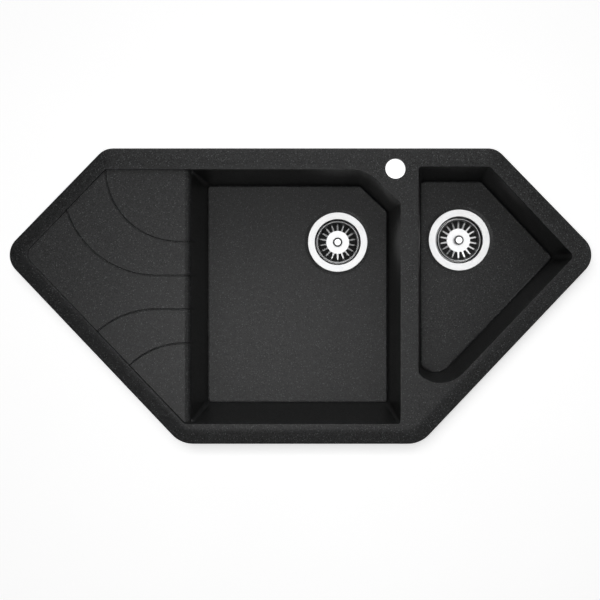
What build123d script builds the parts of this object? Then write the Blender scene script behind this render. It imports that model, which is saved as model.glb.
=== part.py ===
from build123d import *
import math
import os

# Corner kitchen sink in cast granite composite, with one and a half bowls and a drainer.
# Millimetres. +X points right, +Y to the back edge, +Z up.
# The origin is the centre of the rim outline, on the plane of the worktop that the rim rests on.

# ---------------------------------------------------------------- overall sizes
overall_width = 1000.0
overall_depth = 508.0
back_straight = 644.6          # straight length of the back edge
front_straight = 369.0         # straight length of the front edge
tip_y = 70.8                   # the two pointed sides lie this far behind the centre
back_corner_radius = 34.0
tip_radius = 37.3
front_corner_radius = 50.0

# ---------------------------------------------------------------- rim
rim_height = 9.0               # rim top above the worktop
rim_edge_fall = 2.6            # how far the outer band of the rim falls towards its edge
rim_band = 24.0                # width of that band
rim_edge_radius = 3.0
rim_crown_radius = 70.0
landing_width = 11.0           # flat ring that rests on the worktop
plate_underside = 1.5          # underside of the plate inside the landing
seal_inset = 3.8
seal_width = 4.4
seal_depth = 1.5
seal_clearance = 0.2

# ---------------------------------------------------------------- bowls, at the level of the rim top
wall = 8.0
opening_back = 217.6           # back edge of the main bowl and of the drainer
main_depth = 195.0
main_left = -190.8
main_right = 171.8
main_front = -219.3
main_chamfer_x = 112.1         # the cut back-right corner starts here on the back edge
main_chamfer_y = 160.5         # and ends here on the right edge
main_chamfer_radius = 60.0
main_draft = 4.1               # slope of the walls, in degrees
main_front_draft = 5.7

half_depth = 130.0
half_left = 203.1
half_back = 221.6
half_back_right = 325.3
half_tip = (469.1, 68.3)
half_toe = (243.4, -168.4)     # where the two lines beside the round front end would meet
half_toe_radius = 51.5
half_toe_tightening = 1.6      # how much faster than the taper the toe's radius shrinks on the way down
half_left_front = -132.3
half_tip_radius = 9.0
half_back_radius = 10.0
half_draft = 4.8
half_back_draft = 6.5

corner_radius = 5.0            # upright corners at the opening
floor_corner_radius = 8.0      # the same corners at the floor
floor_fillet = 4.0
floor_thickness = 11.0
opening_edge_radius = 1.5
cut_overrun = 3.0              # the hollows are cut from this far above the rim
join = 1.0                     # joined shapes run this far into each other
shell_fillet = 9.0             # outside, under the floor

# ---------------------------------------------------------------- drainer
drainer_corner_x = -335.5
drainer_tip = (-475.1, 71.6)
drainer_front_x = -199.4
drainer_tip_radius = 18.0
drainer_front_radius = 8.0
drainer_depth_tip = 3.6
drainer_depth_lip = 12.0
drainer_thickness = 8.0
lip_radius = 12.0              # rolled lip between the drainer and the main bowl
groove_width = 3.2
groove_depth = 1.7
groove_run_down = 52.0         # the grooves fade out this far down the bowl wall
groove_fade = 1.2              # there the groove's centre line lies this many groove radii inside the bowl
void_reach = 60.0              # the drainer's hollow reaches this far into the main bowl
void_reach_radius = 1.0        # its corners there
# each groove: centre x of its arc, its radius, the y of its straight end, +1 if it bends to the back
grooves = (
    (-211.2, 124.6, 93.7, 1),
    (-248.8, 161.1, 35.2, 1),
    (-250.2, 149.8, -22.9, -1),
    (-202.4, 130.6, -81.4, -1),
)

# ---------------------------------------------------------------- ribs under the drainer
rib_thickness = 6.0
rib_bottom = -24.0
rib_ys = (93.7, 6.2, -81.4)
rib_xs = (-285.0, -388.0)
skirt_inset = 13.0
skirt_thickness = 5.0

# ---------------------------------------------------------------- tap hole
tap_x = 163.1
tap_y = 219.0
tap_hole_radius = 17.5
tap_boss_wall = 5.5
tap_boss_bottom = -4.0
tap_edge_chamfer = 0.8

# ---------------------------------------------------------------- strainer wastes
main_waste = (65.0, 98.0)
half_waste = (285.0, 100.0)
steel = 1.2                    # sheet thickness of the cup
cup_radius = 42.0              # inside of the cup at its mouth
cup_taper = 1.9                # the cup's base is this much smaller in radius
cup_depth = 30.0
cup_mouth_radius = 1.4
flange_width = 13.5
flange_gasket_thickness = 1.5
lower_gasket_thickness = 2.0
gasket_inset = 1.0             # the gaskets end this far inside what they seal
hole_clearance = 0.9           # between the cup and the hole in the bowl's floor
dish_width = 6.0               # the floor dips over this width round the flange
dish_drop = 0.8
recess_clearance = 0.7
cup_slot_count = 8
cup_slot_inner = 14.0
cup_slot_outer = 25.0
cup_slot_width = 6.0

housing_wall = 3.0
housing_clearance = 0.8        # between the cup and the housing round it
housing_flange_width = 9.1
housing_flange_thickness = 4.0
housing_room = 4.0             # between the cup's base and the start of the funnel
housing_taper = 1.5            # the housing is this much smaller in radius there
outlet_radius = 23.9           # outside of the 1 1/2 inch outlet thread
outlet_bore = 20.0
outlet_length = 25.0
outlet_chamfer = 1.0
funnel_shoulder = 4.0          # outside, from the end of the funnel down to the spigot
funnel_drop = 2.0              # from the screw boss down to the spigot's bore
screw_boss_radius = 8.0
screw_boss_height = 14.0
web_count = 3
web_height = 9.0
web_drop = 2.0                 # below the top of the screw boss
web_bite = 1.0                 # the webs run this far into what they join
screw_radius = 3.0
screw_head_radius = 6.0
screw_head_height = 2.8
screw_clearance = 0.2
screw_tip = 1.0                # the screw ends this far below its nut
head_round = 1.0
nut_flats = 10.0
nut_height = 5.0
thread_clearance = 0.05

basket_bead = 0.9              # radius of the rolled rim
basket_side_gap = 3.2          # between the rolled rim and the mouth of the cup
basket_rim_drop = 4.25         # middle of the rolled rim below the flange
basket_side_width = 4.0        # the side leans out by this much
basket_floor_rise = 3.4        # from the disc up to the foot of the side
basket_disc_radius = 21.0
basket_room = 10.5             # from the basket's disc down to the base of the cup
basket_sheet = 0.9
basket_disc_bend = 6.0         # radius of the bend round the disc
basket_side_bend = 3.0         # and at the foot of the side
basket_slot_count = 18
basket_slot_start = 0.4        # from the disc to the slots
basket_slot_reach = 0.6        # the slots cut this far into the side, in plan
basket_bar_top = 2.1           # width of the bars between the slots, at the side
basket_bar_foot = 3.2          # and at the disc
basket_slot_round = 1.25

stem_radius = 2.5
running_clearance = 0.06
stem_gap = 0.4                 # between the stem and the head of the centre screw
stem_end = 0.7                 # below the clip
knob_radius = 8.6
knob_neck_radius = 4.4
knob_top = 3.6                 # below the flange
knob_top_radius = 6.4
knob_chamfer = 0.5
knob_shoulder = 2.8            # height of the sloping shoulder
knob_edge = 1.0                # upright side below the shoulder
knob_head = 5.6
knob_foot_width = 1.4
knob_foot_height = 1.2
knob_bore_depth = 11.0
part_gap = 0.3                 # between pieces that move past each other
plug_side_gap = 1.5            # between the stopper and the foot of the cup's side
plug_plate = 3.2
plug_lip = 3.6
plug_edge = 1.5
plug_hub_radius = 8.0
clip_radius = 4.6
clip_thickness = 0.8
clip_groove = 0.5
clip_mouth = 3.5               # width of the gap in the clip

# ---------------------------------------------------------------- clamps
clamp_inset = 18.0             # screw axis from the rim's outer edge
clamp_boss_radius = 6.0
clamp_boss_bottom = -14.0
insert_wall = 1.25
insert_length = 10.0
insert_hole_extra = 0.5        # the blind hole is this much deeper than the insert
clamp_screw_radius = 2.5
clamp_screw_short = 1.0        # the screw ends this far inside its insert
clamp_screw_bottom = -52.0
clamp_head_radius = 4.6
clamp_head_height = 3.2
claw_length = 29.0
claw_tail = 5.0
claw_width = 8.4
claw_thickness = 2.6
claw_nose_height = 8.0
claw_nose_width = 4.5
claw_tail_radius = 3.9
driver_slot = 1.3
# each clamp: side of the outline, counted anticlockwise from the right tip, and its place along that side
clamps = (
    (0, 0.50), (1, 0.16), (1, 0.84), (2, 0.50),
    (3, 0.40), (4, 0.10), (4, 0.90), (5, 0.60),
)

floor_main = rim_height - main_depth
floor_half = rim_height - half_depth
flange_radius = cup_radius + flange_width
waste_hole_radius = cup_radius + steel + hole_clearance
insert_radius = clamp_screw_radius + thread_clearance + insert_wall


# ================================================================ plane geometry
def rim_discs(inset):
    """Six discs at the corners of the rim, (x, y, radius), anticlockwise from the right tip."""
    tip_x = overall_width / 2 - tip_radius
    back = overall_depth / 2 - back_corner_radius
    front = -overall_depth / 2 + front_corner_radius
    right = (
        (tip_x, tip_y, tip_radius - inset),
        (back_straight / 2, back, back_corner_radius - inset),
    )
    left = tuple((-x, y, r) for x, y, r in reversed(right))
    feet = (
        (-front_straight / 2, front, front_corner_radius - inset),
        (front_straight / 2, front, front_corner_radius - inset),
    )
    return right + left + feet


def outer_tangent(a, b):
    """Ends of the straight line that touches discs a and b on their right side, and its outward normal."""
    dx, dy = b[0] - a[0], b[1] - a[1]
    length = math.hypot(dx, dy)
    along = (a[2] - b[2]) / length
    across = math.sqrt(1 - along**2)
    nx = (dx * along + dy * across) / length
    ny = (dy * along - dx * across) / length
    start = (a[0] + a[2] * nx, a[1] + a[2] * ny)
    end = (b[0] + b[2] * nx, b[1] + b[2] * ny)
    return start, end, (nx, ny)


def rim_sides(inset=0.0):
    """The six straight sides of the rim outline, moved inwards by inset."""
    discs = rim_discs(inset)
    return [outer_tangent(discs[i], discs[(i + 1) % 6]) for i in range(6)]


def rim_face(inset=0.0):
    """Flat face inside the rim outline, moved inwards by inset."""
    discs = rim_discs(inset)
    sides = rim_sides(inset)
    edges = Curve()
    for i, (start, end, normal) in enumerate(sides):
        x, y, r = discs[(i + 1) % 6]
        following = sides[(i + 1) % 6]
        mid_x, mid_y = normal[0] + following[2][0], normal[1] + following[2][1]
        size = math.hypot(mid_x, mid_y)
        middle = (x + r * mid_x / size, y + r * mid_y / size)
        edges += Line(start, end)
        edges += ThreePointArc(end, middle, following[0])
    return make_face(edges)


def inset_corners(corners, distances):
    """Corners of an anticlockwise polygon; side i, up to the next corner, is moved inwards by distances[i]."""
    moved = []
    for i, (x, y) in enumerate(corners):
        normals = []
        for (x1, y1), (x2, y2) in ((corners[i - 1], (x, y)), ((x, y), corners[(i + 1) % len(corners)])):
            length = math.hypot(x2 - x1, y2 - y1)
            normals.append(((y1 - y2) / length, (x2 - x1) / length))
        (ax, ay), (bx, by) = normals
        before, after = distances[i - 1], distances[i]
        both = ax * bx + ay * by
        along_a = (before - both * after) / (1 - both**2)
        along_b = (after - both * before) / (1 - both**2)
        moved.append((x + ax * along_a + bx * along_b, y + ay * along_a + by * along_b))
    return moved


def sloped_corners(corners, drafts, drop, outset=0.0):
    """Corners of a polygon whose sides slope inwards, this far below the rim top, grown by outset."""
    return inset_corners(corners, [drop * math.tan(math.radians(draft)) - outset for draft in drafts])


def corner_arc(before, corner, after, radius):
    """Start, middle and end of the arc that rounds a corner between two straight sides."""
    back = Vector(*before) - Vector(*corner)
    on = Vector(*after) - Vector(*corner)
    back, on = back.normalized(), on.normalized()
    half_angle = math.radians(back.get_angle(on)) / 2
    reach = radius / math.tan(half_angle)
    centre = Vector(*corner) + (back + on).normalized() * (radius / math.sin(half_angle))
    middle = centre - (back + on).normalized() * radius
    return Vector(*corner) + back * reach, middle, Vector(*corner) + on * reach


def rounded_face(corners, radii):
    """Flat face of a polygon with its corners rounded."""
    count = len(corners)
    arcs = [corner_arc(corners[i - 1], corners[i], corners[(i + 1) % count], radii[i]) for i in range(count)]
    edges = Curve()
    for i, (start, middle, end) in enumerate(arcs):
        edges += ThreePointArc(start, middle, end)
        edges += Line(end, arcs[(i + 1) % count][0])
    return make_face(edges)


def disc_at(radius, bottom, top):
    """Upright cylinder on the Z axis between two heights."""
    return Pos(0, 0, bottom) * extrude(Circle(radius), top - bottom)


def turned(points):
    """Solid turned about the Z axis from a closed outline of (radius, height) points."""
    return revolve(Plane.XZ * make_face(Polyline(*points, close=True)), Axis.Z)


# ================================================================ bowls
def main_corners():
    """Corners of the main bowl at the rim top, with its back-right corner cut off."""
    return [
        (main_left, main_front),
        (main_right, main_front),
        (main_right, main_chamfer_y),
        (main_chamfer_x, opening_back),
        (main_left, opening_back),
    ]


def half_corners():
    """Corners of the half bowl at the rim top, with a pointed right side and a round front end."""
    return [
        (half_left, half_left_front),
        half_toe,
        half_tip,
        (half_back_right, half_back),
        (half_left, half_back),
    ]


main_radii = (corner_radius, corner_radius, corner_radius, main_chamfer_radius, corner_radius)
main_floor_radii = (floor_corner_radius,) * 5
half_radii = (corner_radius, half_toe_radius, half_tip_radius, half_back_radius, corner_radius)
half_shrink = half_depth * math.tan(math.radians(half_draft))
half_toe_floor_radius = half_toe_radius - half_toe_tightening * half_shrink
half_floor_radii = (floor_corner_radius, half_toe_floor_radius) + (floor_corner_radius,) * 3
main_drafts = (main_front_draft,) + (main_draft,) * 4
half_drafts = (half_draft,) * 3 + (half_back_draft, half_draft)
main_bowl = (main_corners(), main_radii, main_floor_radii, main_depth, main_drafts)
half_bowl = (half_corners(), half_radii, half_floor_radii, half_depth, half_drafts)


def lofted_bowl(corners, radii, floor_radii, depth, drafts, outset=0.0):
    """Tapered bowl shape from above the rim down to the depth, grown outwards by outset."""
    top = rounded_face(sloped_corners(corners, drafts, -cut_overrun, outset), [r + outset for r in radii])
    bottom = rounded_face(sloped_corners(corners, drafts, depth, outset), [r + outset for r in floor_radii])
    top_z = rim_height + cut_overrun
    return loft([Pos(0, 0, top_z) * top, Pos(0, 0, rim_height - depth) * bottom], ruled=True)


def bowl_void(corners, radii, floor_radii, depth, drafts):
    """Inside of a bowl, with its floor fillet, open above the rim."""
    void = lofted_bowl(corners, radii, floor_radii, depth, drafts)
    return fillet(void.edges().group_by(Axis.Z)[0], floor_fillet)


def bowl_shell(corners, radii, floor_radii, depth, drafts):
    """Outside of a bowl, up to the middle of the rim."""
    shell = lofted_bowl(corners, radii, floor_radii, depth + floor_thickness, drafts, wall)
    shell = fillet(shell.edges().group_by(Axis.Z)[0], shell_fillet)
    top = (plate_underside + rim_height) / 2
    return split(shell, bisect_by=Plane.XY.offset(top), keep=Keep.BOTTOM)


# ================================================================ drainer
def drainer_surface(x):
    """Height of the sloping drainer at x."""
    run = (x - drainer_tip[0]) / (main_left - drainer_tip[0])
    return rim_height - drainer_depth_tip - (drainer_depth_lip - drainer_depth_tip) * run


def drainer_slope():
    """Angle of the drainer's slope."""
    return math.atan((drainer_depth_lip - drainer_depth_tip) / (main_left - drainer_tip[0]))


def bowl_wall_x(z):
    """X of the main bowl's left wall at height z."""
    return main_left + (rim_height - z) * math.tan(math.radians(main_draft))


def lip_arc(depth=0.0):
    """Rolled lip in the XZ plane, sunk by depth: its centre, start, middle and end."""
    slope, draft = drainer_slope(), math.radians(main_draft)
    # the centre lies one lip radius inside both the drainer surface and the bowl wall
    x = main_left - lip_radius
    for _ in range(30):
        z = drainer_surface(x) - lip_radius / math.cos(slope)
        x = bowl_wall_x(z) - lip_radius / math.cos(draft)
    r = lip_radius - depth
    start = (x + r * math.sin(slope), z + r * math.cos(slope))
    end = (x + r * math.cos(draft), z + r * math.sin(draft))
    half_way = (math.pi / 2 - slope + draft) / 2
    middle = (x + r * math.cos(half_way), z + r * math.sin(half_way))
    return (x, z), start, middle, end


def drainer_corners():
    """Plan of the drainer's hollow at the rim top; its right side lies inside the main bowl."""
    inside_bowl = main_left + void_reach
    return [
        (inside_bowl, main_front),
        (inside_bowl, opening_back),
        (drainer_corner_x, opening_back),
        drainer_tip,
        (drainer_front_x, main_front),
    ]


def drainer_void():
    """Space above the drainer and its rolled lip, below the rim top."""
    radii = [void_reach_radius, void_reach_radius, corner_radius, drainer_tip_radius, drainer_front_radius]
    top_z = rim_height + cut_overrun
    bottom_z = lip_arc()[3][1]
    sections = []
    drafts = (main_draft,) * 4 + (main_front_draft,)
    for z in (top_z, bottom_z):
        corners = sloped_corners(drainer_corners(), drafts, rim_height - z)
        sections.append(Pos(0, 0, z) * rounded_face(corners, radii))
    plan = loft(sections, ruled=True)
    _, start, middle, end = lip_arc()
    left, right, above = -overall_width / 2, main_left + 2 * void_reach, rim_height + 2 * cut_overrun
    outline = [
        Line((right, end[1]), end),
        ThreePointArc(end, middle, start),
        Line(start, (left, drainer_surface(left))),
        Line((left, drainer_surface(left)), (left, above)),
        Line((left, above), (right, above)),
        Line((right, above), (right, end[1])),
    ]
    section = Plane.XZ * make_face(Curve() + outline)
    return plan & extrude(section, overall_depth / 2, both=True)


def groove_cutters():
    """Round-bottomed grooves of the drainer, each an arc and a straight run that rolls over the lip."""
    radius = (groove_width**2 / 4 + groove_depth**2) / (2 * groove_depth)
    lift = radius - groove_depth      # the groove's centre line lies this far above the surface
    slope = drainer_slope()
    _, start, middle, end = lip_arc(-lift)
    fade_z = end[1] - groove_run_down
    fade = (bowl_wall_x(fade_z) + groove_fade * radius, fade_z)
    surface = Plane(origin=(start[0], 0, start[1]), x_dir=(math.cos(slope), 0, -math.sin(slope)),
                    z_dir=(math.sin(slope), 0, math.cos(slope)))
    cutters = []
    for arc_x, arc_radius, y, side in grooves:
        arc_y = y + side * arc_radius
        reach = groove_reach(arc_x, arc_radius, arc_y, side)
        from_lip = (arc_x - start[0]) / math.cos(slope)
        bend = CenterArc((from_lip, arc_y), arc_radius, -90 * side, -reach * side)
        flat = surface * (bend + Line((from_lip, y), (0, y)))
        roll = ThreePointArc((start[0], y, start[1]), (middle[0], y, middle[1]), (end[0], y, end[1]))
        run = Line((end[0], y, end[1]), (fade[0], y, fade[1]))
        path = Wire(flat.edges() + [roll.edge(), run.edge()])
        profile = Plane(path @ 0, z_dir=path % 0) * Circle(radius)
        cutters.append(sweep(profile, path))
    return cutters


def groove_reach(arc_x, arc_radius, arc_y, side):
    """Angle of a groove's arc from its straight run to the edge of the drainer."""
    corners = drainer_corners()
    (x1, y1), (x2, y2) = (corners[2], corners[3]) if side > 0 else (corners[3], corners[4])
    length = math.hypot(x2 - x1, y2 - y1)
    ux, uy = (x2 - x1) / length, (y2 - y1) / length
    along = (arc_x - x1) * ux + (arc_y - y1) * uy
    off = (arc_x - x1) * uy - (arc_y - y1) * ux
    half_chord = math.sqrt(arc_radius**2 - off**2)
    hits = [(x1 + ux * t, y1 + uy * t) for t in (along - half_chord, along + half_chord)]
    angles = [math.degrees(math.atan2(arc_x - hx, side * (arc_y - hy))) for hx, hy in hits]
    return min(a for a in angles if a > 0)


def drainer_tray():
    """The drainer's floor, under the plate, with its lower side parallel to the sloping surface."""
    plan = rounded_face(inset_corners(drainer_corners(), [-wall] * 5), [wall] * 5)
    top = (plate_underside + rim_height) / 2
    left, right = -overall_width / 2, main_left + wall
    section = Polyline(
        (left, drainer_surface(left) - drainer_thickness),
        (right, drainer_surface(right) - drainer_thickness),
        (right, top),
        (left, top),
        close=True,
    )
    slab = extrude(Plane.XZ * make_face(section), overall_depth / 2, both=True)
    return slab & Pos(0, 0, rib_bottom) * extrude(plan, top - rib_bottom)


def drainer_ribs():
    """Ribs and a skirt that stiffen the underside of the drainer."""
    top = plate_underside + join
    height = top - rib_bottom
    right = main_left - wall / 2
    left = -overall_width / 2
    bars = Part()
    for y in rib_ys:
        bars += Pos((left + right) / 2, y, rib_bottom + height / 2) * Box(right - left, rib_thickness, height)
    for x in rib_xs + (right,):
        bars += Pos(x, 0, rib_bottom + height / 2) * Box(rib_thickness, overall_depth, height)
    inside = Pos(0, 0, rib_bottom) * extrude(rim_face(skirt_inset + skirt_thickness / 2), height)
    ring = rim_face(skirt_inset) - rim_face(skirt_inset + skirt_thickness)
    skirt = Pos(0, 0, clamp_boss_bottom) * extrude(ring, top - clamp_boss_bottom)
    width = right - left
    drainer_side = Pos((left + right) / 2, 0, rib_bottom + height / 2) * Box(width, overall_depth, height)
    return (bars & inside) + (skirt & drainer_side)


# ================================================================ sink body
def rim_plate():
    """The rim and the deck between the bowls, with a crowned outer band."""
    plate = extrude(rim_face(), rim_height)
    top = plate.faces().sort_by(Axis.Z)[-1]
    plate = chamfer(top.outer_wire().edges(), rim_band, rim_edge_fall, reference=top)
    plate = fillet(plate.edges().group_by(Axis.Z)[-1], rim_crown_radius)
    edge_z = rim_height - rim_edge_fall
    shoulder = plate.edges().filter_by_position(Axis.Z, edge_z - 0.01, edge_z + 0.01)
    plate = fillet(shoulder, rim_edge_radius)
    return plate - extrude(rim_face(landing_width), plate_underside)


def seal_ring(clearance):
    """Flat ring of the rim seal, or of its groove when the clearance is zero."""
    inner = seal_inset + seal_width - clearance
    return extrude(rim_face(seal_inset + clearance) - rim_face(inner), seal_depth)


def clamp_places():
    """Place of each clamp's screw axis and the direction of its side of the rim, in degrees."""
    places = []
    sides = rim_sides()
    for side, share in clamps:
        (x1, y1), (x2, y2), (nx, ny) = sides[side]
        x = x1 + (x2 - x1) * share - nx * clamp_inset
        y = y1 + (y2 - y1) * share - ny * clamp_inset
        places.append((x, y, math.degrees(math.atan2(y2 - y1, x2 - x1))))
    return places


def waste_seat(floor_z):
    """Hole, flange recess and shallow dip of the floor round a waste, at the origin in plan."""
    seat = floor_z - dish_drop
    hole = disc_at(waste_hole_radius, floor_z - 2 * floor_thickness, floor_z)
    recess = disc_at(flange_radius + recess_clearance, seat - steel - flange_gasket_thickness, floor_z)
    dish = turned([
        (0, seat),
        (flange_radius, seat),
        (flange_radius + dish_width, floor_z),
        (flange_radius + dish_width, floor_z + join),
        (0, floor_z + join),
    ])
    return hole + recess + dish


def sink_body():
    """The one-piece casting: rim, deck, both bowls, drainer, ribs, tap hole and clamp bosses."""
    body = rim_plate() + bowl_shell(*main_bowl) + bowl_shell(*half_bowl) + drainer_tray() + drainer_ribs()
    tap_boss_radius = tap_hole_radius + tap_boss_wall
    body += Pos(tap_x, tap_y, 0) * disc_at(tap_boss_radius, tap_boss_bottom, plate_underside + join)
    for x, y, _ in clamp_places():
        body += Pos(x, y, 0) * disc_at(clamp_boss_radius, clamp_boss_bottom, plate_underside + join)
    body -= bowl_void(*main_bowl)
    body -= bowl_void(*half_bowl)
    body -= drainer_void()
    deck = body.faces().filter_by(Plane.XY).group_by(Axis.Z)[-1].sort_by(SortBy.AREA)[-1]
    openings = ShapeList(edge for wire in deck.inner_wires() for edge in wire.edges())
    body = fillet(openings, opening_edge_radius)
    for cutter in groove_cutters():
        body -= cutter
    hole = disc_at(tap_hole_radius, 2 * tap_boss_bottom, 2 * rim_height)
    flare = turned([
        (0, rim_height - tap_edge_chamfer),
        (tap_hole_radius, rim_height - tap_edge_chamfer),
        (tap_hole_radius + tap_edge_chamfer, rim_height),
        (0, rim_height),
    ])
    body -= Pos(tap_x, tap_y, 0) * (hole + flare)
    body -= Pos(*main_waste, 0) * waste_seat(floor_main)
    body -= Pos(*half_waste, 0) * waste_seat(floor_half)
    body -= seal_ring(0.0)
    clamp_hole_top = clamp_boss_bottom + insert_length + insert_hole_extra
    clamp_hole = disc_at(insert_radius, clamp_boss_bottom, clamp_hole_top)
    for x, y, _ in clamp_places():
        body -= Pos(x, y, 0) * clamp_hole
    return body


# ================================================================ strainer wastes
# Each piece of a waste is made round the origin, with the flange's top face at z = 0.
gasket_bottom = -steel - flange_gasket_thickness
floor_underside = dish_drop - floor_thickness
housing_top = floor_underside - lower_gasket_thickness
cup_bottom_radius = cup_radius - cup_taper
cup_base = -cup_depth - steel
housing_radius = cup_radius + steel + housing_clearance
housing_flange_radius = housing_radius + housing_flange_width
boss_bottom = cup_base - screw_boss_height
outlet_top = boss_bottom - funnel_drop
outlet_bottom = outlet_top - outlet_length

disc_top = basket_room - cup_depth
stem_bottom = screw_head_height + stem_gap - cup_depth
clip_bottom = stem_bottom + stem_end
plug_top = disc_top - basket_sheet - part_gap
plug_radius = cup_bottom_radius - plug_side_gap
basket_rim_radius = cup_radius - basket_side_gap - basket_bead
basket_floor_radius = basket_rim_radius - basket_side_width


def around(shape, count):
    """Equal copies of a shape round the Z axis."""
    return [Rot(0, 0, 360 * i / count) * shape for i in range(count)]


def driver_cut(radius, top, depth):
    """Straight slot for a screwdriver across a screw head."""
    return Pos(0, 0, top - depth / 2) * Box(2.5 * radius, driver_slot, depth)


def waste_flange():
    """Pressed steel cup with a wide flange and a slotted base."""
    cup = turned([
        (screw_radius + screw_clearance, -cup_depth),
        (cup_bottom_radius, -cup_depth),
        (cup_radius, 0),
        (flange_radius, 0),
        (flange_radius, -steel),
        (cup_radius + steel, -steel),
        (cup_bottom_radius + steel, cup_base),
        (screw_radius + screw_clearance, cup_base),
    ])
    mouth = cup.edges().filter_by(GeomType.CIRCLE).filter_by_position(Axis.Z, -0.01, 0.01)
    mouth = mouth.filter_by(lambda edge: edge.radius < cup_radius + 1)
    cup = fillet(mouth, cup_mouth_radius)
    slot_length = cup_slot_outer - cup_slot_inner
    slot_middle = (cup_slot_outer + cup_slot_inner) / 2
    slot = extrude(SlotOverall(slot_length, cup_slot_width), 3 * steel)
    slot = Pos(slot_middle, 0, cup_base - steel) * slot
    for cutter in around(slot, cup_slot_count):
        cup -= cutter
    rim = cup.edges().filter_by(GeomType.CIRCLE).filter_by(lambda edge: edge.radius > flange_radius - 0.01)
    return fillet(rim.sort_by(Axis.Z)[-1], steel / 2)


def flat_ring(inner, outer, bottom, top):
    """Washer shape round the Z axis between two heights."""
    return disc_at(outer, bottom, top) - disc_at(inner, bottom, top)


def flange_gasket():
    """Rubber ring between the flange and the floor of the bowl."""
    return flat_ring(waste_hole_radius + gasket_inset, flange_radius - gasket_inset, gasket_bottom, -steel)


def lower_gasket():
    """Rubber ring between the underside of the bowl and the housing."""
    return flat_ring(waste_hole_radius + gasket_inset, housing_flange_radius, housing_top, floor_underside)


def waste_body():
    """Moulded housing under the bowl: a funnel with a screw boss on webs, and the outlet spigot."""
    funnel_top = cup_base - housing_room
    funnel_radius = housing_radius - housing_taper
    shell = turned([
        (housing_radius, housing_top),
        (housing_flange_radius, housing_top),
        (housing_flange_radius, housing_top - housing_flange_thickness),
        (housing_radius + housing_wall, housing_top - housing_flange_thickness),
        (funnel_radius + housing_wall, funnel_top - web_bite),
        (outlet_radius, outlet_top - funnel_shoulder),
        (outlet_radius, outlet_bottom),
        (outlet_bore, outlet_bottom),
        (outlet_bore, outlet_top),
        (funnel_radius, funnel_top),
    ])
    end = shell.edges().filter_by(GeomType.CIRCLE).group_by(Axis.Z)[0].sort_by(SortBy.RADIUS)[-1]
    shell = chamfer(end, outlet_chamfer)
    boss_top = cup_base - screw_clearance
    boss = disc_at(screw_boss_radius, boss_bottom, boss_top)
    web_start = screw_boss_radius - web_bite
    web = Pos((web_start + housing_radius) / 2, 0, boss_top - web_drop - web_height / 2)
    web *= Box(housing_radius - web_start, housing_wall, web_height)
    inside = turned([
        (0, housing_top),
        (housing_radius + web_bite, housing_top),
        (funnel_radius + web_bite, funnel_top),
        (outlet_bore + web_bite, outlet_top),
        (0, outlet_top),
    ])
    webs = Part() + around(web, web_count)
    boss += webs & inside
    bore = disc_at(screw_radius + screw_clearance, outlet_bottom, 0)
    pocket_shape = RegularPolygon(nut_flats / 2 + thread_clearance, 6, major_radius=False)
    pocket = Pos(0, 0, boss_bottom - nut_height) * extrude(pocket_shape, 2 * nut_height)
    return shell + (boss - bore - pocket)


def insert_nut():
    """Brass nut held in the boss of the housing."""
    nut = Pos(0, 0, boss_bottom) * extrude(RegularPolygon(nut_flats / 2, 6, major_radius=False), nut_height)
    return nut - disc_at(screw_radius + thread_clearance, boss_bottom - nut_height, 0)


def centre_screw():
    """Screw that pulls the cup and the housing together through the bowl."""
    head_top = -cup_depth + screw_head_height
    head = disc_at(screw_head_radius, -cup_depth, head_top)
    head = fillet(head.edges().group_by(Axis.Z)[-1], head_round)
    shank = disc_at(screw_radius, boss_bottom - screw_tip, -cup_depth + head_round)
    return head + shank - driver_cut(screw_head_radius, head_top, screw_head_height / 2)


# ================================================================ baskets
def basket():
    """Lift-out basket: a disc bored for the stem, a slotted floor, a steep side and a rolled rim."""
    disc_z = disc_top - basket_sheet / 2
    middle_line = FilletPolyline(
        (stem_radius + running_clearance, disc_z),
        (basket_disc_radius, disc_z),
        (basket_floor_radius, disc_z + basket_floor_rise),
        (basket_rim_radius, -basket_rim_drop),
        radius=(basket_disc_bend, basket_side_bend),
    )
    shell = revolve(Plane.XZ * trace(middle_line, basket_sheet), Axis.Z)
    shell += revolve(Plane.XZ * Pos(basket_rim_radius, -basket_rim_drop) * Circle(basket_bead), Axis.Z)
    slot_inner = basket_disc_radius + basket_slot_start
    slot_outer = basket_floor_radius + basket_slot_reach
    half_pitch = math.pi / basket_slot_count
    half_foot = slot_inner * half_pitch - basket_bar_foot / 2
    half_top = slot_outer * half_pitch - basket_bar_top / 2
    outline = make_face(Polyline(
        (slot_inner, -half_foot),
        (slot_outer, -half_top),
        (slot_outer, half_top),
        (slot_inner, half_foot),
        close=True,
    ))
    outline = fillet(outline.vertices(), basket_slot_round)
    slot = Pos(0, 0, disc_top - 2 * basket_sheet) * extrude(outline, -disc_top)
    for cutter in around(slot, basket_slot_count):
        shell -= cutter
    return shell


def basket_knob():
    """Turned pull knob with a flat top and a sloping shoulder, bored for the stem."""
    top = -knob_top
    foot = disc_top + part_gap
    edge = top - knob_shoulder
    knob = turned([
        (0, top),
        (knob_top_radius - knob_chamfer, top),
        (knob_top_radius, top - knob_chamfer / 2),
        (knob_radius, edge),
        (knob_radius, edge - knob_edge),
        (knob_neck_radius, top - knob_head),
        (knob_neck_radius, foot + knob_foot_height),
        (knob_neck_radius + knob_foot_width, foot),
        (0, foot),
    ])
    return knob - disc_at(stem_radius, foot - part_gap, foot + knob_bore_depth)


def basket_stem():
    """Steel pin that carries the knob, the basket and the stopper."""
    stem = disc_at(stem_radius, stem_bottom, disc_top + part_gap + knob_bore_depth)
    groove = flat_ring(stem_radius - clip_groove, clip_radius, clip_bottom, clip_bottom + clip_thickness)
    return stem - groove


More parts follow.
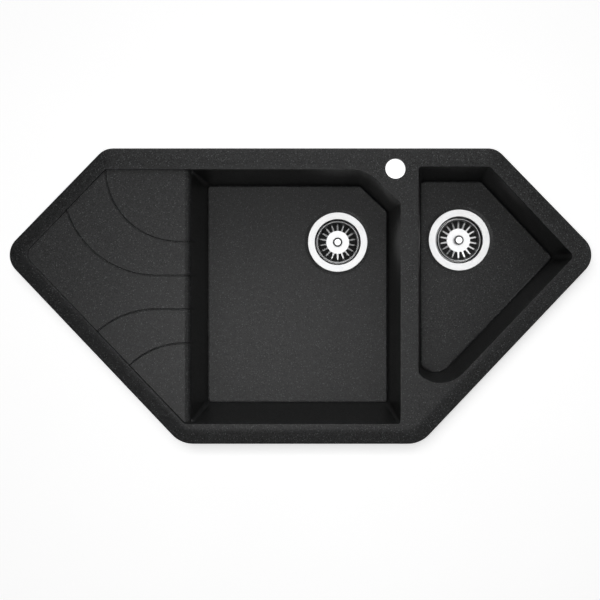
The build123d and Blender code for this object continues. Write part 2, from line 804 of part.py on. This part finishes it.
def stopper_seal():
    """Rubber stopper under the basket: a plate with a hub and a lip that seals on the base of the cup."""
    lip_bottom = part_gap - cup_depth
    hub_bottom = clip_bottom + clip_thickness
    return turned([
        (stem_radius, plug_top),
        (plug_radius - plug_edge, plug_top),
        (plug_radius, plug_top - plug_edge),
        (plug_radius, lip_bottom),
        (plug_radius - plug_lip, lip_bottom),
        (plug_radius - plug_lip, plug_top - plug_plate),
        (plug_hub_radius, plug_top - plug_plate),
        (plug_hub_radius, hub_bottom),
        (stem_radius, hub_bottom),
    ])


def stem_clip():
    """Open spring ring that holds the stopper on the stem."""
    ring = flat_ring(stem_radius - clip_groove, clip_radius, clip_bottom, clip_bottom + clip_thickness)
    mouth = Pos(clip_radius, 0, clip_bottom) * Box(2 * clip_radius, clip_mouth, 3 * clip_thickness)
    return ring - mouth


# ================================================================ clamps
def clamp_insert():
    """Threaded brass insert in a boss under the rim."""
    top = clamp_boss_bottom + insert_length
    return flat_ring(clamp_screw_radius + thread_clearance, insert_radius, clamp_boss_bottom, top)


def clamp_screw():
    """Screw that hangs from the insert and carries the claw on its head."""
    bottom = clamp_screw_bottom - clamp_head_height
    head = disc_at(clamp_head_radius, bottom, clamp_screw_bottom)
    head = fillet(head.edges().group_by(Axis.Z)[0], head_round)
    shank_top = clamp_boss_bottom + insert_length - clamp_screw_short
    shank = disc_at(clamp_screw_radius, clamp_screw_bottom - head_round, shank_top)
    return head + shank - driver_cut(clamp_head_radius, bottom + clamp_head_height / 2, clamp_head_height / 2)


def clamp_claw():
    """Steel claw on the screw's head, with an upturned nose that grips the underside of the worktop."""
    bottom = clamp_screw_bottom + part_gap / 2
    side = make_face(Polyline(
        (-claw_tail, bottom),
        (claw_length, bottom),
        (claw_length, bottom + claw_nose_height),
        (claw_length - claw_nose_width, bottom + claw_nose_height),
        (claw_length - 2 * claw_nose_width, bottom + claw_thickness),
        (-claw_tail, bottom + claw_thickness),
        close=True,
    ))
    claw = extrude(Plane.XZ * side, claw_width / 2, both=True)
    claw = fillet(claw.edges().filter_by(Axis.Z).group_by(Axis.X)[0], claw_tail_radius)
    bore_radius = clamp_screw_radius + running_clearance
    return claw - disc_at(bore_radius, bottom - part_gap, bottom + claw_nose_height)


# ================================================================ assembly
def build():
    """All nodes, by name, in their places."""
    nodes = {"sink_body": sink_body()}
    nodes["rim_seal"] = seal_ring(seal_clearance)
    wastes = (("main", main_waste, floor_main), ("half", half_waste, floor_half))
    pieces = (waste_flange, flange_gasket, lower_gasket, waste_body, insert_nut, centre_screw,
              basket, basket_knob, basket_stem, stopper_seal, stem_clip)
    for bowl, place, floor_z in wastes:
        seat = Pos(*place, floor_z - dish_drop)
        for piece in pieces:
            nodes[f"{bowl}_{piece.__name__}"] = seat * piece()
    places = clamp_places()
    nodes["clamp_inserts"] = Compound([Pos(x, y, 0) * clamp_insert() for x, y, _ in places])
    nodes["clamp_screws"] = Compound([Pos(x, y, 0) * clamp_screw() for x, y, _ in places])
    for number, (x, y, turn) in enumerate(places, 1):
        nodes[f"clamp_claw_{number}"] = Pos(x, y, 0) * Rot(0, 0, turn) * clamp_claw()
    return nodes


os.makedirs("parts", exist_ok=True)
for name, shape in build().items():
    export_step(shape, f"parts/{name}.step")
for number, (x, y, turn) in enumerate(clamp_places(), 1):
    print(f"clamp {number}: axis at {x:.3f}, {y:.3f}, side runs at {turn:.2f} degrees")
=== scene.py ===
import math

import bpy
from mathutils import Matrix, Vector


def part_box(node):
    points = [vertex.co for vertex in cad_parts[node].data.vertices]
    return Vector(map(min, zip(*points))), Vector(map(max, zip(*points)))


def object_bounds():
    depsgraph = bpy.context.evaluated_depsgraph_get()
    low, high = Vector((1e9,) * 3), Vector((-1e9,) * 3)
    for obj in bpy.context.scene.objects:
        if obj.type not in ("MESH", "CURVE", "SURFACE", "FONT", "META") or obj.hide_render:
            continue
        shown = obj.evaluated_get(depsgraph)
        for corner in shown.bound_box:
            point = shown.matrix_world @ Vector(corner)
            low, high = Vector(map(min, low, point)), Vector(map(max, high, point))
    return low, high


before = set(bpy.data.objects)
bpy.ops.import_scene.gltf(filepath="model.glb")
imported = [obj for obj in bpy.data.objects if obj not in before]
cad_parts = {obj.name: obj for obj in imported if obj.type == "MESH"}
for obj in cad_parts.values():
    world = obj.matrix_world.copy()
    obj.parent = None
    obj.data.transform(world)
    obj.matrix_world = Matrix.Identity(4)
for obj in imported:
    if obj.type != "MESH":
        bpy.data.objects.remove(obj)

# Corner kitchen sink in black granite composite. Metres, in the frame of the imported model.
cad_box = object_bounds()

# ---------------------------------------------------------------- places taken from the frame
rim_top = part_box("sink_body")[1].z
lowest = cad_box[0][2]
bowls = ("main", "half")


def middle_of(node):
    """Centre of a node's box at rest, in plan, with the height of its top."""
    low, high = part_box(node)
    return (low.x + high.x) / 2, (low.y + high.y) / 2, high.z


waste_places = {bowl: middle_of(f"{bowl}_waste_flange") for bowl in bowls}


# ================================================================ node trees
class Shading:
    """A material's node tree with short ways to add and link nodes."""

    def __init__(self, name):
        self.material = bpy.data.materials.new(name)
        self.material.use_nodes = True
        self.tree = self.material.node_tree
        self.shader = self.tree.nodes["Principled BSDF"]

    def node(self, kind, inputs=None, **settings):
        """New node; inputs maps socket names to values or to other nodes' outputs."""
        made = self.tree.nodes.new(kind)
        for key, value in settings.items():
            setattr(made, key, value)
        for key, value in (inputs or {}).items():
            self.set(made.inputs[key], value)
        return made

    def set(self, socket, value):
        if isinstance(value, bpy.types.NodeSocket):
            self.tree.links.new(value, socket)
        else:
            socket.default_value = value

    def shade(self, **values):
        """Sets or links sockets of the shader, named with underscores for spaces."""
        for key, value in values.items():
            self.set(self.shader.inputs[key.replace("_", " ")], value)

    def place(self, offset=(0, 0, 0)):
        """Position on the object in metres, measured from an offset."""
        coordinates = self.node("ShaderNodeTexCoord").outputs["Object"]
        if not any(offset):
            return coordinates
        moved = self.node("ShaderNodeVectorMath", {0: coordinates, 1: offset}, operation="SUBTRACT")
        return moved.outputs["Vector"]

    def noise(self, position, size, detail=2.0, roughness=0.5, **inputs):
        """Noise from 0 to 1 whose features are about size metres across."""
        values = {"Vector": position, "Scale": 1 / size, "Detail": detail, "Roughness": roughness, **inputs}
        return self.node("ShaderNodeTexNoise", values).outputs["Fac"]

    def cells(self, position, size, output):
        """Random cells about size metres across."""
        return self.node("ShaderNodeTexVoronoi", {"Vector": position, "Scale": 1 / size}).outputs[output]

    def span(self, value, low, high, to_low, to_high, smooth=False):
        """Value from low..high carried over to to_low..to_high, and held at both ends."""
        kind = "SMOOTHSTEP" if smooth else "LINEAR"
        values = {"Value": value, "From Min": low, "From Max": high, "To Min": to_low, "To Max": to_high}
        return self.node("ShaderNodeMapRange", values, interpolation_type=kind).outputs["Result"]

    def math(self, operation, *values):
        made = self.node("ShaderNodeMath", dict(enumerate(values)), operation=operation)
        return made.outputs["Value"]

    def mix(self, share, first, second):
        """Colour between first and second."""
        made = self.node("ShaderNodeMix", data_type="RGBA")
        for socket, value in ((0, share), (6, first), (7, second)):
            self.set(made.inputs[socket], value)
        return made.outputs[2]

    def bump(self, height, distance, strength=1.0, under=None):
        """Normal of a relief; height 0..1 stands for the distance in metres."""
        values = {"Height": height, "Distance": distance, "Strength": strength}
        if under is not None:
            values["Normal"] = under
        return self.node("ShaderNodeBump", values).outputs["Normal"]


def grey(level, tint=0.0):
    """Grey with a slight blue tint where tint is above zero."""
    return (level * (1 - tint), level, level * (1 + tint), 1)


# ================================================================ materials
def composite():
    """Black granite composite: fine light and dark quartz grains in a matt, slightly pitted surface."""
    grain_size, fine_grain_size, cloud_size = 0.0016, 0.0006, 0.05
    patch_size, wave_size, pit_size = 0.004, 0.009, 0.0011
    wave_depth, pit_depth = 0.00006, 0.00012
    darkest, lightest = grey(0.006, 0.03), grey(0.032, 0.02)
    fine_quartz, haze, speck = grey(0.072), grey(0.025, 0.04), grey(0.17, 0.02)
    turn = (0.61, 0.43, 0.87)      # away from the walls and floors, which would cut the cells in rows

    s = Shading("granite_composite")
    position = s.node("ShaderNodeMapping", {"Vector": s.place(), "Rotation": turn}).outputs["Vector"]
    # grains: each cell has its own random grey; a few of them are light specks
    grain = s.cells(position, grain_size, "Color")
    random_grey = s.node("ShaderNodeSeparateColor", {0: grain}).outputs["Red"]
    speck_share = s.node("ShaderNodeSeparateColor", {0: grain}).outputs["Green"]
    speck_shape = s.span(s.cells(position, grain_size, "Distance"), 0.3, 0.6, 1, 0, smooth=True)
    specks = s.math("MULTIPLY", s.span(speck_share, 0.86, 0.95, 0, 1), speck_shape)
    fine = s.cells(position, fine_grain_size, "Color")
    fine_grey = s.node("ShaderNodeSeparateColor", {0: fine}).outputs["Blue"]
    cloud = s.noise(position, cloud_size, detail=4)
    base = s.mix(s.span(random_grey, 0.15, 0.85, 0, 1), darkest, lightest)
    base = s.mix(s.span(fine_grey, 0.6, 1.0, 0, 0.5), base, fine_quartz)
    base = s.mix(s.span(cloud, 0.35, 0.7, 0, 0.3), base, haze)
    base = s.mix(s.math("MULTIPLY", specks, 0.75), base, speck)
    # relief: fine stone grain over a gentle unevenness of the mould
    rough = s.span(s.noise(position, patch_size, detail=3), 0.3, 0.7, 0.29, 0.37)
    uneven = s.bump(s.noise(position, wave_size, detail=2), wave_depth, 0.5)
    stone = s.bump(s.noise(position, pit_size, detail=3, roughness=0.65), pit_depth, 0.85, under=uneven)
    s.shade(Base_Color=base, Roughness=rough, Normal=stone, Specular_IOR_Level=0.285)
    return s.material


def turned_steel(name, centre, level, roughness, line_size, line_depth):
    """Steel with faint concentric lines about an upright axis, and soft marks from use."""
    smear_size, scratch_size = 0.012, 0.0016
    arc_scale = 0.0012             # how fast the lines change along the turn, in metres per radian
    s = Shading(name)
    position = s.place((centre[0], centre[1], 0))
    parts = s.node("ShaderNodeSeparateXYZ", {0: position}).outputs
    flat = s.node("ShaderNodeCombineXYZ", {0: parts["X"], 1: parts["Y"]}).outputs[0]
    radius = s.node("ShaderNodeVectorMath", {0: flat}, operation="LENGTH").outputs["Value"]
    angle = s.math("ARCTAN2", parts["Y"], parts["X"])
    # long along the turn, short across it
    along = s.math("MULTIPLY", angle, arc_scale)
    stretched = s.node("ShaderNodeCombineXYZ", {0: radius, 1: along, 2: parts["Z"]})
    lines = s.noise(stretched.outputs[0], line_size, detail=3, roughness=0.6)
    smear = s.noise(s.place(), smear_size, detail=3)
    scratches = s.span(s.noise(s.place(), scratch_size, detail=2, Distortion=3.0), 0.66, 0.72, 0, 1)
    tone = s.mix(s.span(smear, 0.35, 0.7, 0, 1), grey(level * 0.94, 0.01), grey(level, -0.004))
    tone = s.mix(s.math("MULTIPLY", scratches, 0.18), tone, grey(level * 0.75))
    line_rough = s.span(lines, 0.3, 0.7, roughness * 0.8, roughness * 1.2)
    rough = s.math("ADD", line_rough, s.math("MULTIPLY", smear, 0.06))
    relief = s.bump(lines, line_depth, 0.6)
    s.shade(Base_Color=tone, Metallic=1.0, Roughness=rough, Normal=relief)
    return s.material


def pressed_steel(name, level, roughness):
    """Pressed steel with small zinc crystals, a fine orange-peel relief and dull patches."""
    patch_size, crystal_size, peel_size, peel_depth = 0.006, 0.0014, 0.0012, 0.00004
    s = Shading(name)
    position = s.place()
    patches = s.noise(position, patch_size, detail=4)
    spangle = s.cells(position, crystal_size, "Color")
    spangle_grey = s.node("ShaderNodeSeparateColor", {0: spangle}).outputs["Red"]
    tone = s.mix(s.span(patches, 0.35, 0.7, 0, 1), grey(level * 0.85, 0.02), grey(level, 0.01))
    tone = s.mix(s.math("MULTIPLY", spangle_grey, 0.25), tone, grey(level * 0.7, 0.03))
    rough = s.span(patches, 0.3, 0.7, roughness * 0.8, roughness * 1.3)
    relief = s.bump(s.noise(position, peel_size, detail=2), peel_depth, 0.5)
    s.shade(Base_Color=tone, Metallic=1.0, Roughness=rough, Normal=relief)
    return s.material


def brass():
    """Machined brass with fine rings and a slight tarnish."""
    ring_size, ring_depth, tarnish_size = 0.0005, 0.00003, 0.003
    bright, tarnished = (0.72, 0.52, 0.24, 1), (0.48, 0.32, 0.14, 1)
    squeeze = 0.05                 # sideways, so that the noise runs in rings round an upright axis
    s = Shading("machined_brass")
    position = s.place()
    parts = s.node("ShaderNodeSeparateXYZ", {0: position}).outputs
    squeezed = s.node("ShaderNodeCombineXYZ", {0: s.math("MULTIPLY", parts["X"], squeeze),
                                               1: s.math("MULTIPLY", parts["Y"], squeeze), 2: parts["Z"]})
    rings = s.noise(squeezed.outputs[0], ring_size, detail=2)
    tarnish = s.noise(position, tarnish_size, detail=4)
    tone = s.mix(s.span(tarnish, 0.4, 0.7, 0, 1), bright, tarnished)
    rough = s.span(rings, 0.3, 0.7, 0.22, 0.38)
    s.shade(Base_Color=tone, Metallic=1.0, Roughness=rough, Normal=s.bump(rings, ring_depth, 0.6))
    return s.material


def rubber(name, level):
    """Moulded rubber or closed-cell foam with a bloom and fine pores."""
    pore_size, pore_depth, bloom_size = 0.0009, 0.00008, 0.008
    s = Shading(name)
    position = s.place()
    pores = s.cells(position, pore_size, "Distance")
    bloom = s.noise(position, bloom_size, detail=4)
    tone = s.mix(s.span(bloom, 0.4, 0.75, 0, 1), grey(level), grey(level * 1.9))
    rough = s.span(bloom, 0.3, 0.7, 0.6, 0.85)
    s.shade(Base_Color=tone, Roughness=rough, Specular_IOR_Level=0.35, Normal=s.bump(pores, pore_depth, 0.5))
    return s.material


def moulded_plastic():
    """Off-white polypropylene with a fine spark-eroded texture and flow marks."""
    flow_size, texture_size, texture_depth, light_depth = 0.03, 0.0007, 0.00005, 0.004
    dull, pale = (0.72, 0.72, 0.70, 1), (0.80, 0.80, 0.785, 1)
    s = Shading("moulded_polypropylene")
    position = s.place()
    flow = s.noise(position, flow_size, detail=4, Distortion=1.5)
    texture = s.noise(position, texture_size, detail=2)
    tone = s.mix(s.span(flow, 0.35, 0.7, 0, 1), dull, pale)
    rough = s.span(flow, 0.3, 0.7, 0.42, 0.52)
    s.shade(Base_Color=tone, Roughness=rough, Normal=s.bump(texture, texture_depth, 0.6),
            Subsurface_Weight=0.08, Subsurface_Radius=(light_depth,) * 3)
    return s.material


def put_on(material, *nodes):
    """The material takes the place of all the materials of these nodes."""
    for name in nodes:
        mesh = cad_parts[name].data
        mesh.materials.clear()
        mesh.materials.append(material)


put_on(composite(), "sink_body")
put_on(rubber("seal_foam", level=0.045), "rim_seal")
black_rubber = rubber("black_rubber", level=0.018)
plastic = moulded_plastic()
machined_brass = brass()
zinc = pressed_steel("zinc_plate", level=0.62, roughness=0.32)
for bowl in bowls:
    centre = waste_places[bowl]
    put_on(turned_steel(f"{bowl}_flange_steel", centre, level=0.7, roughness=0.32,
                        line_size=0.0004, line_depth=0.00001), f"{bowl}_waste_flange")
    put_on(turned_steel(f"{bowl}_basket_steel", centre, level=0.72, roughness=0.28,
                        line_size=0.0004, line_depth=0.00001), f"{bowl}_basket")
    put_on(turned_steel(f"{bowl}_knob_steel", centre, level=0.68, roughness=0.16,
                        line_size=0.0002, line_depth=0.000006),
           f"{bowl}_basket_knob", f"{bowl}_basket_stem", f"{bowl}_stem_clip", f"{bowl}_centre_screw")
    put_on(black_rubber, f"{bowl}_flange_gasket", f"{bowl}_lower_gasket", f"{bowl}_stopper_seal")
    put_on(plastic, f"{bowl}_waste_body")
    put_on(machined_brass, f"{bowl}_insert_nut")
put_on(machined_brass, "clamp_inserts")
put_on(zinc, "clamp_screws", *(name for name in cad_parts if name.startswith("clamp_claw_")))


# ================================================================ camera
# The photograph looks straight down, from above a point between the bowls.
camera_height = 2.30           # above the rim's top
camera_x, camera_y = 0.0507, 0.0311
frame_width = 1.029            # what the camera sees at the rim's top
frame_centre = (-0.0008, -0.0066)
sensor_width = 36.0            # millimetres

camera_data = bpy.data.cameras.new("camera")
camera_data.sensor_width = sensor_width
camera_data.lens = sensor_width * camera_height / frame_width
camera_data.shift_x = (frame_centre[0] - camera_x) / frame_width
camera_data.shift_y = (frame_centre[1] - camera_y) / frame_width
camera = bpy.data.objects.new("camera", camera_data)
camera.location = (camera_x, camera_y, rim_top + camera_height)
bpy.context.scene.collection.objects.link(camera)
bpy.context.scene.camera = camera


# ================================================================ floor
floor_half_width = 8.0
floor_drop = 0.0005            # below the lowest piece
floor_glow = 0.61
floor_mottle = 0.4             # width of its patches


def pale_floor():
    """Plain pale floor with a faint unevenness, lit from within like a light table."""
    s = Shading("pale_floor")
    mottle = s.noise(s.place(), floor_mottle, detail=2)
    tone = s.mix(mottle, grey(0.86), grey(0.88))
    s.shade(Base_Color=tone, Roughness=0.9, Specular_IOR_Level=0.1,
            Emission_Color=tone, Emission_Strength=floor_glow)
    return s.material


floor_mesh = bpy.data.meshes.new("floor")
low, high = -floor_half_width, floor_half_width
floor_mesh.from_pydata([(low, low, 0), (high, low, 0), (high, high, 0), (low, high, 0)], [], [(0, 1, 2, 3)])
floor_mesh.materials.append(pale_floor())
floor = bpy.data.objects.new("floor", floor_mesh)
floor.location = (0, 0, lowest - floor_drop)
bpy.context.scene.collection.objects.link(floor)


# ================================================================ light
# Each softbox: name, bearing from the front in degrees anticlockwise, angle from straight up, width,
# radiance, and the group of objects that it lights
softbox_distance = 3.0
softboxes = (
    ("overhead", 328, 6, 0.4, 13.8, "stone"),
    ("canopy", 0, 0, 2.2, 0.88, "stone"),
    ("steel_light", 0, 0, 2.2, 1.9, "steel"),
    ("back", 180, 42, 1.6, 3.2, "sink"),
    ("right", 90, 45, 1.6, 1.1, "sink"),
    ("floor_light", 180, 3, 0.45, 90.0, "floor"),
)
tap_hole = (0.1631, 0.2190)
hole_spot_energy = 130.0
hole_spot_angle = 1.6
hole_spot_radius = 0.01
dome_horizon = 0.85
dome_band = (0.08, 0.2)        # heights between which the pale band fades out
steel_pieces = ("waste_flange", "basket", "basket_knob")


def light_group(name, objects, inside=True):
    """Collection that keeps a light to these objects, or else away from them."""
    group = bpy.data.collections.new(name)
    for item in objects:
        group.objects.link(item)
    for entry in group.collection_objects:
        entry.light_linking.link_state = "INCLUDE" if inside else "EXCLUDE"
    return group


steel = [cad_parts[f"{bowl}_{piece}"] for bowl in bowls for piece in steel_pieces]
light_groups = {
    "floor": light_group("floor_only", [floor]),
    "steel": light_group("steel_only", steel),
    "sink": light_group("all_but_floor", [floor], inside=False),
    "stone": light_group("all_but_floor_and_steel", [floor, *steel], inside=False),
}


def softbox(name, bearing, lean, width, radiance, lights_up):
    """Square area light that faces the middle of the rim; its power gives it the radiance."""
    light = bpy.data.lights.new(name, "AREA")
    light.size = width
    light.energy = radiance * math.pi * width**2
    made = bpy.data.objects.new(name, light)
    turn, tilt = math.radians(bearing), math.radians(lean)
    away = (math.sin(turn) * math.sin(tilt), -math.cos(turn) * math.sin(tilt), math.cos(tilt))
    made.location = [softbox_distance * part for part in away]
    made.rotation_euler = (-made.location).to_track_quat("-Z", "Y").to_euler()
    made.light_linking.receiver_collection = light_groups[lights_up]
    bpy.context.scene.collection.objects.link(made)


def light_through_the_tap_hole():
    """Narrow spot beside the camera, so that the floor seen through the tap hole is as pale as the rest."""
    light = bpy.data.lights.new("tap_hole_light", "SPOT")
    light.energy = hole_spot_energy
    light.spot_size = math.radians(hole_spot_angle)
    light.shadow_soft_size = hole_spot_radius
    made = bpy.data.objects.new("tap_hole_light", light)
    made.location = camera.location
    aim = Vector((*tap_hole, rim_top)) - made.location
    made.rotation_euler = aim.to_track_quat("-Z", "Y").to_euler()
    made.light_linking.receiver_collection = light_groups["floor"]
    bpy.context.scene.collection.objects.link(made)


def dome():
    """Dark surroundings with a pale band at the horizon."""
    world = bpy.data.worlds.new("studio")
    world.use_nodes = True
    tree = world.node_tree
    direction = tree.nodes.new("ShaderNodeTexCoord").outputs["Generated"]
    split = tree.nodes.new("ShaderNodeSeparateXYZ")
    ramp = tree.nodes.new("ShaderNodeValToRGB")
    tree.links.new(direction, split.inputs[0])
    tree.links.new(split.outputs["Z"], ramp.inputs[0])
    for element, height, level in zip(ramp.color_ramp.elements, dome_band, (dome_horizon, 0.0)):
        element.position = height
        element.color = grey(level)
    background = tree.nodes["Background"]
    tree.links.new(ramp.outputs[0], background.inputs[0])
    bpy.context.scene.world = world


for box in softboxes:
    softbox(*box)
light_through_the_tap_hole()
dome()
bpy.context.scene.view_settings.view_transform = "Standard"
